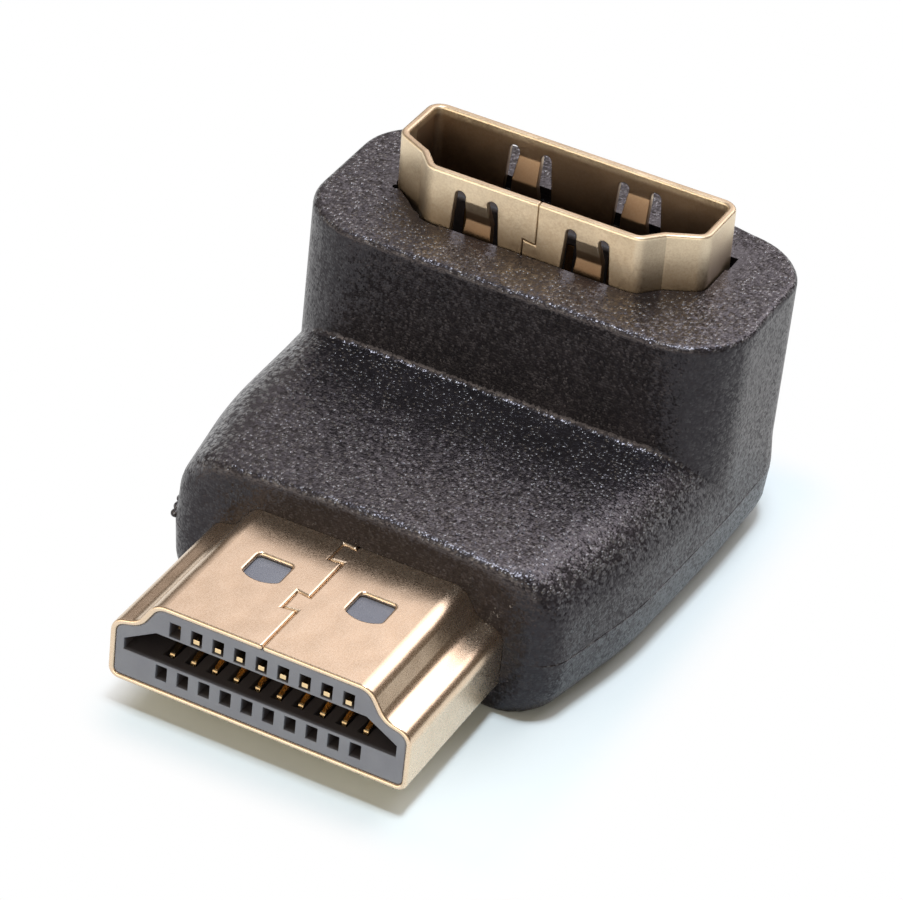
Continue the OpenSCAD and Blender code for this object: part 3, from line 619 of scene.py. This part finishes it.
def strip_outline(path, t):
    """An outline of thickness t along a path."""
    def side(s):
        pts = []
        for i, p in enumerate(path):
            p = Vector(p)
            u = (p - Vector(path[i - 1])).normalized() if i else (Vector(path[1]) - p).normalized()
            v = (Vector(path[i + 1]) - p).normalized() if i < len(path) - 1 else u
            pts.append(p + Vector((-u.y - v.y, u.x + v.x)) * s / (1 + u.dot(v)))
        return pts
    return side(t / 2) + side(-t / 2)[::-1]


def lock(y, length, x=0.0):
    """The seam's way round a dovetail whose middle is at y."""
    return [(x, y - length / 2 + LOCK_FLARE), (x - LOCK_REACH, y - length / 2),
            (x - LOCK_REACH, y + length / 2), (x, y + length / 2 - LOCK_FLARE)]


def window(x):
    """A window with rounded corners and a bowed front edge."""
    arc_r = (WINDOW_HALF ** 2 + WINDOW_BOW ** 2) / (2 * WINDOW_BOW)
    a = math.asin(WINDOW_HALF / arc_r)
    arc_y = WINDOW_FRONT - WINDOW_BOW
    front = [(x + arc_r * math.sin(a * t), arc_y + arc_r * (1 - math.cos(a * t)), 0.02)
             for t in (k / 6 - 1 for k in range(13))]
    left, right = x - WINDOW_HALF, x + WINDOW_HALF
    ends = [(px, py, WINDOW_ROUND) for px, py in ((left, WINDOW_FRONT), (right, WINDOW_FRONT),
                                                  (right, WINDOW_BACK), (left, WINDOW_BACK))]
    return outline([ends[0]] + front[1:-1] + ends[1:], 0, 3)


def bevelled(obj, width, segments=2, angle=40):
    m = obj.modifiers.new("edge", "BEVEL")
    m.width, m.segments, m.limit_method, m.angle_limit = width, segments, "ANGLE", math.radians(angle)
    m.use_clamp_overlap = False
    return applied(obj)


plug_shell = folded("plug_sheet", nose_ring, 0, NOSE_END, SHEET, SHEET_LIP)
seam = [(0, -0.2)] + [p for y in LOCK_PLACES for p in lock(y, LOCK_LENGTH)] + [(0, NOSE_END + 0.2)]
cuts = [upright("seam", strip_outline(seam, SEAM_GAP), SEAM_FLOOR, SEAM_TOP)]
cuts += [upright("window", window(x), -3, 3) for x in (-WINDOW_X, WINDOW_X)]
combine(plug_shell, cuts, "DIFFERENCE")
bevelled(plug_shell, SHEET_EDGE, 4)
smooth(plug_shell)

# satin plating: a cloudy tone, fine specks and a slightly uneven surface
plating, given, result = effect("satin plating", {"Specks": 14000.0, "Clouds": 900.0, "Dents": 10.0},
                                {"Tone": "Float", "Speck": "Float", "Height": "Float"})
spot = spot_in(plating)
speck = noise(plating, spot, given["Specks"], 2.0)
dent = noise(plating, spot, given["Clouds"], 0.0)
plating.links.new(noise(plating, spot, given["Clouds"], 5.0, 0.6), result["Tone"])
plating.links.new(speck, result["Speck"])
plating.links.new(calc(plating, "MULTIPLY_ADD", dent, given["Dents"], speck), result["Height"])


def plated(name, tones, roughness, depth, specks=14000.0, clouds=900.0, dents=10.0):
    """Metal plating: its dark and light tone, how satin it is, and how deep and dense its marks are."""
    m, tree, shader = material(name, {"Metallic": 1})
    marks = add_effect(tree, plating, {"Specks": specks, "Clouds": clouds, "Dents": dents})
    both = calc(tree, "MULTIPLY_ADD", marks["Speck"], 0.6, calc(tree, "MULTIPLY", marks["Tone"], 0.4))
    coloured(tree, shader, both, tones, 0.4, 0.6)
    tree.links.new(span(tree, marks["Speck"], 0.3, 0.7, roughness * 0.85, roughness * 1.2, "LINEAR"),
                   shader.inputs["Roughness"])
    bumped(tree, shader, marks["Height"], depth)
    return m, tree, shader


dress(plug_shell, plated("pale gold plate", PALE_GOLD, roughness=0.27, depth=0.0000018)[0])
set_down(plug_shell, "plug_plate", "plug_shell")

# Plug core: a blue-grey moulded block that fills the shell, with the slot for the mating tongue
# and a channel for each contact above and below it.
PITCH, UPPER_COUNT, LOWER_COUNT = 1.0, 9, 10
CORE_FACE, CORE_BEVEL, CORE_EDGE, CORE_END = 0.06, 0.05, 0.02, 13
MOUTH_DEPTH, AHEAD_OF_FACE = 6.4, -0.2
MOUTH = [(6.3, -0.65), (6.3, -0.1), (4.85, 0.75), (-4.85, 0.75), (-6.3, -0.1), (-6.3, -0.65)]
UPPER_CHANNEL, LOWER_CHANNEL = 1.21, 1.15
CHANNEL_HALF_WIDTH, CHANNEL_HALF_HEIGHT = 0.26, 0.35
CHANNEL_ROOM, BRIDGE_LENGTH = 0.6, 0.65
BLUE_GREY, IN_SHADE = ((0.165, 0.175, 0.21), (0.2, 0.215, 0.25)), (0.35, 0.3, 0.28)


def row_places(count):
    """Where the contacts of a row stand, left and right of the middle."""
    return [PITCH * (i - (count - 1) / 2) for i in range(count)]


core = skin("plug_core", [nose_ring(CORE_FACE, SHEET + CORE_BEVEL),
                          nose_ring(CORE_FACE + CORE_BEVEL, SHEET),
                          nose_ring(CORE_END, SHEET)])
cuts = [skin("mouth", [[(x, y, z) for x, z in MOUTH] for y in (AHEAD_OF_FACE, MOUTH_DEPTH)])]
for count, mid, side in ((UPPER_COUNT, UPPER_CHANNEL, 1), (LOWER_COUNT, LOWER_CHANNEL, -1)):
    for x in row_places(count):
        left, right = x - CHANNEL_HALF_WIDTH, x + CHANNEL_HALF_WIDTH
        # past the short bridge behind its opening, each channel is open to the slot
        for near, start in ((mid - CHANNEL_HALF_HEIGHT, AHEAD_OF_FACE), (CHANNEL_ROOM, BRIDGE_LENGTH)):
            z0, z1 = sorted((side * near, side * (mid + CHANNEL_HALF_HEIGHT)))
            cuts.append(block("channel", left, right, start, MOUTH_DEPTH, z0, z1))
combine(core, cuts, "DIFFERENCE")
bevelled(core, CORE_EDGE, segments=1)
smooth(core)


def shaded(tree, shader, mask, colour):
    """Darkens the shader's colour by a tint where the mask is 1."""
    mix = node(tree, "ShaderNodeMix", {"Factor": mask}, data_type="RGBA", blend_type="MULTIPLY")
    tree.links.new(shader.inputs["Base Color"].links[0].from_socket, mix.inputs["A"])
    mix.inputs["B"].default_value = (*colour, 1)
    tree.links.new(mix.outputs["Result"], shader.inputs["Base Color"])


def core_plastic(name, tones, roughness):
    """Stiff moulded plastic with a finer and fainter grain than the body's."""
    m, tree, shader = material(name, {"Roughness": roughness})
    core_grain = add_effect(tree, grain, {"Count": 11000.0})
    coloured(tree, shader, core_grain["Tone"], tones)
    bumped(tree, shader, core_grain["Height"], 0.00001, 0.6)
    return m, tree, shader


grey_plastic, tree, shader = core_plastic("blue-grey core plastic", BLUE_GREY, roughness=0.5)
# the mouth and the channels are darker than the face, as little light gets in; places in metres
FACE_BACK, FACE_DEEP = -0.01505, -0.0148
OPEN_INSIDE, OPEN_OUTSIDE = 0.0016, 0.0018
place = axes(tree, spot_in(tree))
deep = span(tree, place["Y"], FACE_BACK, FACE_DEEP, 0.0, 1.0)
from_axis = calc(tree, "ABSOLUTE", calc(tree, "SUBTRACT", place["Z"], NOSE_HEIGHT / 1000))
deep = calc(tree, "MULTIPLY", deep, span(tree, from_axis, OPEN_INSIDE, OPEN_OUTSIDE, 1.0, 0.0))
shaded(tree, shader, deep, IN_SHADE)
dress(core, grey_plastic)
set_down(core, "plug_core", "plug_insulator")

# Plug contacts: gold-plated spring strips, one in each channel. Each tip sits behind its opening,
# dips into the slot and runs back flat to its tail on the board.
STRIP, STRIP_HALF_WIDTH, STRIP_EDGE = 0.16, 0.17, 0.03
DIP_END, ROOT, TAIL_STEP, TAIL, TAIL_END = 3.2, 5.6, 11.1, 12, 15.1
TIP_LENGTH, TIP_THICK_LENGTH, TIP_THICKENING = 0.45, 0.6, 0.4
UPPER_FRONT = [(0.08, 1.06), (0.81, 1.06), (2.3, 0.6)]
LOWER_FRONT = [(0.72, 1.06), (0.86, 1.03), (1.02, 0.74), (2.3, 0.49)]
FIRST_TIP_X, FIRST_TIP_Y, FIRST_TIP_LEFT = -3.5, 0.8, 0.3
CONTACT_GOLD = (0.84, 0.62, 0.34), (0.9, 0.7, 0.42)


def eased(path, r, steps):
    """A path with its corners rounded."""
    pts = [path[0]]
    for a, p, b in zip(path, path[1:], path[2:]):
        pts += bend(a, p, b, r, steps)
    return pts + [path[-1]]


def contact(name, front, ease, low, flat, narrow):
    """A strip whose front runs over the given points, then dips to low and goes back flat."""
    tip, high = front[0]
    path = eased(front, ease, 4)[:-1]
    path += eased([front[-1], (DIP_END, low), (ROOT, flat), (TAIL_STEP, flat)], 0.9, 6)
    path += [(TAIL, BOARD_HALF + STRIP / 2), (TAIL_END, BOARD_HALF + STRIP / 2)]
    flat_side = strip_outline(path, STRIP)
    obj = skin(name, [[(x, y, z) for y, z in flat_side] for x in (-STRIP_HALF_WIDTH, STRIP_HALF_WIDTH)])
    for v in obj.data.vertices:  # the tip is stamped narrower and thicker
        if v.co.y < tip + TIP_LENGTH:
            v.co.x *= narrow
        if v.co.y < TIP_THICK_LENGTH:
            v.co.z += (v.co.z - high) * TIP_THICKENING
    return bevelled(obj, STRIP_EDGE, 2, 50)


# copies of a strip across the plug: how many, how far apart, and in which material
row, given, end = piece_tree("contact row", {
    "Strip": "Geometry", "Count": "Int", "Pitch": "Float", "Material": "Material"}, "Row")
first = calc(row, "MULTIPLY", calc(row, "SUBTRACT", given["Count"], 1.0), -0.5)
first = calc(row, "MULTIPLY", first, given["Pitch"])
line = node(row, "GeometryNodeMeshLine", {
    "Count": given["Count"], "Start Location": node(row, "ShaderNodeCombineXYZ", {"X": first}).outputs[0],
    "Offset": node(row, "ShaderNodeCombineXYZ", {"X": given["Pitch"]}).outputs[0]}).outputs[0]
copies = node(row, "GeometryNodeInstanceOnPoints", {"Points": line, "Instance": given["Strip"]})
made_real(row, copies.outputs[0], given["Material"], end)

contact_gold = plated("contact gold", CONTACT_GOLD, roughness=0.2, depth=0.0000005)[0]
upper_row = contact("plug_contacts_upper", UPPER_FRONT, ease=0.5, low=0.6, flat=1.48, narrow=0.85)
lower_row = contact("plug_contacts_lower", LOWER_FRONT, ease=0.1, low=0.49, flat=1.42, narrow=0.7)
lower_row.data.transform(Matrix.Scale(-1, 4, (0, 0, 1)))
face_out(lower_row)
for strip, count in ((upper_row, UPPER_COUNT), (lower_row, LOWER_COUNT)):
    smooth(grown(strip, row, Count=count, Pitch=PITCH, Material=contact_gold))
for v in upper_row.data.vertices:  # the leftmost tip sits back in its channel
    if v.co.x < FIRST_TIP_X and v.co.y < FIRST_TIP_Y:
        v.co.y = FIRST_TIP_Y - (FIRST_TIP_Y - v.co.y) * FIRST_TIP_LEFT
set_down(upper_row, "contact", *[f"plug_contact_{i:02d}" for i in range(1, 10)])
set_down(lower_row, "contact", *[f"plug_contact_{i:02d}" for i in range(10, 20)])

# Socket shell: a thicker folded sheet that stands out of the top face, with two springs cut from
# each long wall. Its seam is locked near the body. Four legs tie it to the board, out of sight, and
# only the solid has them.
RIM, SOCKET_LIP, SOCKET_EDGE = 11.82, 0.13, 0.06
SPRING_X, SPRING_TOP, SPRING_LOW, SPRING_SHIFT = 2.66, RIM - 0.95, RIM - 4.9, 0.17
SPRING_IN, SPRING_BEND, SPRING_TIP = 0.42, RIM - 2.15, 0.2
SPRING_HALF, SPRING_SPREAD = 0.525, 0.3
SLOT_MID, SLOT_R, SLOT_LOW_INNER, SLOT_LOW_OUTER = 0.775, 0.25, 0.825, 1.325
SOCKET_SEAM_X, SOCKET_LOCK, SOCKET_LOCK_LENGTH = 0.27, 9.42, 0.9
SOCKET_LEAN, LEAN_FROM = 0.03, 9
SOCKET_GOLD = (0.86, 0.72, 0.52), (0.95, 0.83, 0.63)
# the first two tints are painted shade, inside the socket and at its foot; the third is the duller cut
# edge on the rim
INSIDE_SHADE, FOOT_SHADE, CUT_METAL = (0.56, 0.48, 0.44), (0.4, 0.36, 0.33), (0.75, 0.7, 0.66)
socket_shell = folded("socket_sheet", lambda z, d: socket_ring(z, d - SOCKET_SHEET), RIM, BOARD_HALF,
                      SOCKET_SHEET, SOCKET_LIP)
slot = [(SLOT_MID + SLOT_R * math.cos(a), SPRING_TOP + SLOT_R * math.sin(a))
        for a in (math.radians(20 * k) for k in range(10))]
slot += [(SLOT_LOW_INNER, SPRING_LOW), (SLOT_LOW_OUTER, SPRING_LOW)]
cuts = []
for x in (-SPRING_X, SPRING_X):
    for way in (-1, 1):
        # the back wall's springs stand a little further to the right than the front wall's
        for shift, y0, y1 in ((0, 21, SOCKET_MID), (SPRING_SHIFT, SOCKET_MID, 30)):
            placed_slot = [(x + shift + way * px, pz) for px, pz in slot]
            cuts.append(skin("spring_slot", [[(px, y, pz) for px, pz in placed_slot] for y in (y0, y1)]))
seam = [(SOCKET_SEAM_X, 0)] + lock(SOCKET_LOCK, SOCKET_LOCK_LENGTH, SOCKET_SEAM_X) + [(SOCKET_SEAM_X, 13)]
seam = strip_outline(seam, SEAM_GAP)
cuts.append(skin("socket_seam", [[(x, y, z) for x, z in seam] for y in (22.2, 22.95)]))
combine(socket_shell, cuts, "DIFFERENCE")
bevelled(socket_shell, SOCKET_EDGE, 3)

# how far each spring is bent inwards, by height
bent = eased([(SPRING_LOW, 0), (SPRING_LOW + 0.5, 0), (SPRING_BEND, SPRING_IN), (SPRING_TOP - 0.15, 0),
              (SPRING_TOP + SPRING_TIP, 0)], 0.25, 4)
bm = bmesh.new()
bm.from_mesh(socket_shell.data)
for z, _ in bent:
    sliced(bm, (0, 0, z), (0, 0, 1))
for v in bm.verts:
    half = SPRING_HALF + SPRING_SPREAD * (SPRING_TOP - v.co.z) / (SPRING_TOP - SPRING_LOW)
    on_spring = abs(abs(v.co.x) - SPRING_X) < half + SLOT_R
    if on_spring and SPRING_LOW < v.co.z < SPRING_TOP + SPRING_TIP:
        v.co.y += between(bent, v.co.z) * (1 if v.co.y < SOCKET_MID else -1)
for v in bm.verts:  # the whole socket leans a little to the left
    v.co.x -= SOCKET_LEAN * (v.co.z - LEAN_FROM)
bm.to_mesh(socket_shell.data)
bm.free()
smooth(socket_shell)

socket_plate, tree, shader = plated("socket gold plate", SOCKET_GOLD, roughness=0.43, depth=0.000002,
                                    specks=12000.0, clouds=600.0, dents=40.0)
# where the plating's tone changes, in metres: from the outline inwards, and by height
INNER_FACE = -0.00028, -0.0002
FOOT, RIM_START, CUT_EDGE = (0.0124, 0.0147), (0.0148, 0.01505), (0.0152, 0.01526)
level = axes(tree, spot_in(tree))["Z"]
inside = span(tree, add_effect(tree, from_socket)["Distance"], *INNER_FACE, 1.0, 0.0)
inside = calc(tree, "MULTIPLY", inside, span(tree, level, *RIM_START, 1.0, 0.0))
# painted shade: inside, below the rim, the plating is darkened to a red brown, standing in for the shade
# within the socket
shaded(tree, shader, inside, INSIDE_SHADE)
# painted shade: the foot is darker inside and out, standing in for the shade where the socket rises from
# the moulding
shaded(tree, shader, span(tree, level, *FOOT, 1.0, 0.0), FOOT_SHADE)
# the cut edge on top of the rim is duller than the faces beside it
shaded(tree, shader, span(tree, level, *CUT_EDGE, 0.0, 1.0), CUT_METAL)
dress(socket_shell, socket_plate)
set_down(socket_shell, "socket_plate", "socket_shell")

# Socket core: a black base that fills the shell's foot, and the thin tongue that the mating plug
# goes over, with a groove in its faces for each contact.
TONGUE_MID, TONGUE_END, TONGUE_HALF_WIDTH, TONGUE_HALF = 25.03, 9.45, 5.2, 0.45
BASE_LOW, BASE_TOP, BASE_OVER = 0.72, 5.2, 0.005
GROOVE_HALF_WIDTH, GROOVE_FLOOR, GROOVE_END = 0.18, 0.3, TONGUE_END - 0.45
TONGUE_EDGE, TONGUE_ROOT = 0.2, 5
CORE_BLACK = (0.028, 0.026, 0.03), (0.036, 0.034, 0.038)
socket_core = skin("socket_core", [socket_ring(z, -BASE_OVER) for z in (BASE_LOW, BASE_TOP)])
tongue = block("tongue", -TONGUE_HALF_WIDTH, TONGUE_HALF_WIDTH,
               TONGUE_MID - TONGUE_HALF, TONGUE_MID + TONGUE_HALF, TONGUE_ROOT, TONGUE_END)
combine(socket_core, [bevelled(tongue, TONGUE_EDGE, 3)], "UNION")
grooves = []
for count, side in ((UPPER_COUNT, -1), (LOWER_COUNT, 1)):
    floor_y = TONGUE_MID + side * GROOVE_FLOOR
    for x in row_places(count):
        grooves.append(block("groove", x - GROOVE_HALF_WIDTH, x + GROOVE_HALF_WIDTH,
                             floor_y - 0.01, floor_y + 0.2 * side, BOARD_HALF, GROOVE_END))
combine(socket_core, grooves, "DIFFERENCE")
smooth(socket_core)
dress(socket_core, core_plastic("black core plastic", CORE_BLACK, roughness=0.42)[0])
set_down(socket_core, "socket_core", "socket_insulator")

# Socket contacts: gold-plated strips that lie in the tongue's grooves and turn out to a foot on the
# board, ten on the wide side and nine on the narrow one.
CONTACT_TOP, CONTACT_OFF, FOOT_LENGTH, FOOT_ROUND = TONGUE_END - 0.5, 0.37, 0.8, 0.22
for name, side, count, first in (("socket_contacts_narrow", -1, UPPER_COUNT, 1),
                                 ("socket_contacts_wide", 1, LOWER_COUNT, 10)):
    y, foot_z = TONGUE_MID + side * CONTACT_OFF, BOARD_HALF + STRIP / 2
    path = eased([(y, CONTACT_TOP), (y, foot_z), (y + side * FOOT_LENGTH, foot_z)], FOOT_ROUND, 3)
    strip = skin(name, [[(x, py, pz) for py, pz in strip_outline(path, STRIP)]
                        for x in (-STRIP_HALF_WIDTH, STRIP_HALF_WIDTH)])
    bevelled(strip, STRIP_EDGE, 2, 50)
    smooth(grown(strip, row, Count=count, Pitch=PITCH, Material=contact_gold))
    set_down(strip, "contact", *[f"socket_contact_{first + i:02d}" for i in range(count)])

# Circuit board: a thin lacquered sheet of glass fibre, hidden in the moulding, that carries both
# connectors. Its solid stays as made.
BOARD_GREEN = (0.008, 0.05, 0.02), (0.014, 0.08, 0.035)
board_lacquer, tree, shader = material("green board lacquer", {"Roughness": 0.3})
coloured(tree, shader, noise(tree, spot_in(tree), 1500.0, 3.0), BOARD_GREEN)
dress(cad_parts["circuit_board"], board_lacquer)

# Table and light: a white table, one cool lamp almost straight above that draws the crisp shadow,
# and a warm, dim room with a bright white wall high up behind.
TABLE_HALF = 3
floor = make("floor", [(-TABLE_HALF, -TABLE_HALF, 0), (TABLE_HALF, -TABLE_HALF, 0),
                       (TABLE_HALF, TABLE_HALF, 0), (-TABLE_HALF, TABLE_HALF, 0)], [(0, 1, 2, 3)])
paper = bpy.data.materials.new("white table")
paper.use_nodes = True
tree = paper.node_tree
tree.nodes.clear()
matt = node(tree, "ShaderNodeBsdfDiffuse", {"Color": (0.81, 0.91, 0.93, 1)}).outputs[0]
glow = node(tree, "ShaderNodeEmission", {"Color": (1, 1, 1, 1), "Strength": 1.0}).outputs[0]
rays = node(tree, "ShaderNodeLightPath").outputs
seen = calc(tree, "MAXIMUM", rays["Is Camera Ray"], rays["Is Glossy Ray"])
seen = calc(tree, "MAXIMUM", seen, rays["Is Transmission Ray"])

# the glow grows over a few millimetres outside the object's outline, so that its shadow stays; the
# outline is drawn in on the left, where the shadow is narrow; sizes in metres
OUTLINE_X, OUTLINE_HALF_X, OUTLINE_HALF_Y = 0.00275, 0.00775, 0.0151
GLOW_START, GLOW_FULL = 0.0002, 0.0031


def beyond(value, middle, half):
    """How far a coordinate lies outside a stretch of the table."""
    off = calc(tree, "ABSOLUTE", calc(tree, "SUBTRACT", value, middle))
    return calc(tree, "MAXIMUM", calc(tree, "SUBTRACT", off, half), 0.0)


place = axes(tree, spot_in(tree))
reach = node(tree, "ShaderNodeCombineXYZ", {"X": beyond(place["X"], OUTLINE_X, OUTLINE_HALF_X),
                                            "Y": beyond(place["Y"], 0.0, OUTLINE_HALF_Y)}).outputs[0]
glowing = span(tree, vector(tree, "LENGTH", reach), GLOW_START, GLOW_FULL, 0.0, 1.0)
both = node(tree, "ShaderNodeMixShader", {0: calc(tree, "MULTIPLY", seen, glowing), 1: matt, 2: glow})
node(tree, "ShaderNodeOutputMaterial", {"Surface": both.outputs[0]})
floor.data.materials.append(paper)

world = bpy.data.worlds.new("room")
bpy.context.scene.world = world
world.use_nodes = True
tree = world.node_tree
toward = node(tree, "ShaderNodeTexCoord").outputs["Generated"]
way = axes(tree, toward)

# the white wall, brighter to the right; each edge has its axis, where it starts and stops, and how
# much of the wall there is before and after it
WALL_COLOUR, WALL_DIM, WALL_BRIGHT = (1.0, 0.92, 0.94), 0.56, 3.0
WALL_EDGES = (("X", 0.4, 0.52, 1.0, 0.0), ("Y", 0.1, 0.4, 0.0, 1.0),
              ("Z", 0.3, 0.44, 0.0, 1.0), ("Z", 0.8, 0.93, 1.0, 0.0))
wall = span(tree, way["X"], -0.4, 0.1, WALL_DIM, WALL_BRIGHT, "LINEAR")
for axis, start, stop, before, after in WALL_EDGES:
    wall = calc(tree, "MULTIPLY", wall, span(tree, way[axis], start, stop, before, after))

# the warm side that the plug points to, brightest low down, and the dim rest of the room
WARM_SIDE = Vector((-0.22, -0.95, 0.0)).normalized()
WARM_COLOUR, WARM_FOCUS, WARM_STRENGTH = (1.0, 0.87, 0.71), 1.7, 3.5
ROOM_COLOUR = (0.15, 0.122, 0.098)
warm = calc(tree, "MAXIMUM", vector(tree, "DOT_PRODUCT", toward, WARM_SIDE), 0.0)
warm = calc(tree, "MULTIPLY", calc(tree, "POWER", warm, WARM_FOCUS), WARM_STRENGTH)
warm = calc(tree, "MULTIPLY", warm, span(tree, way["Z"], 0.12, 0.5, 1.0, 0.25))
wall_light, warm_light = vector(tree, "SCALE", WALL_COLOUR, wall), vector(tree, "SCALE", WARM_COLOUR, warm)
room = vector(tree, "ADD", vector(tree, "ADD", wall_light, warm_light), ROOM_COLOUR)
tree.links.new(room, tree.nodes["Background"].inputs["Color"])

lamp_data = bpy.data.lights.new("lamp", "AREA")
lamp_data.shape, lamp_data.size = "DISK", 0.09
lamp_data.energy, lamp_data.color = 1.65, (0.85, 0.91, 1.0)
lamp = bpy.data.objects.new("lamp", lamp_data)
lamp.location = (0.03, -0.01, 0.5)
bpy.context.scene.collection.objects.link(lamp)
bpy.context.scene.view_settings.view_transform = "Standard"
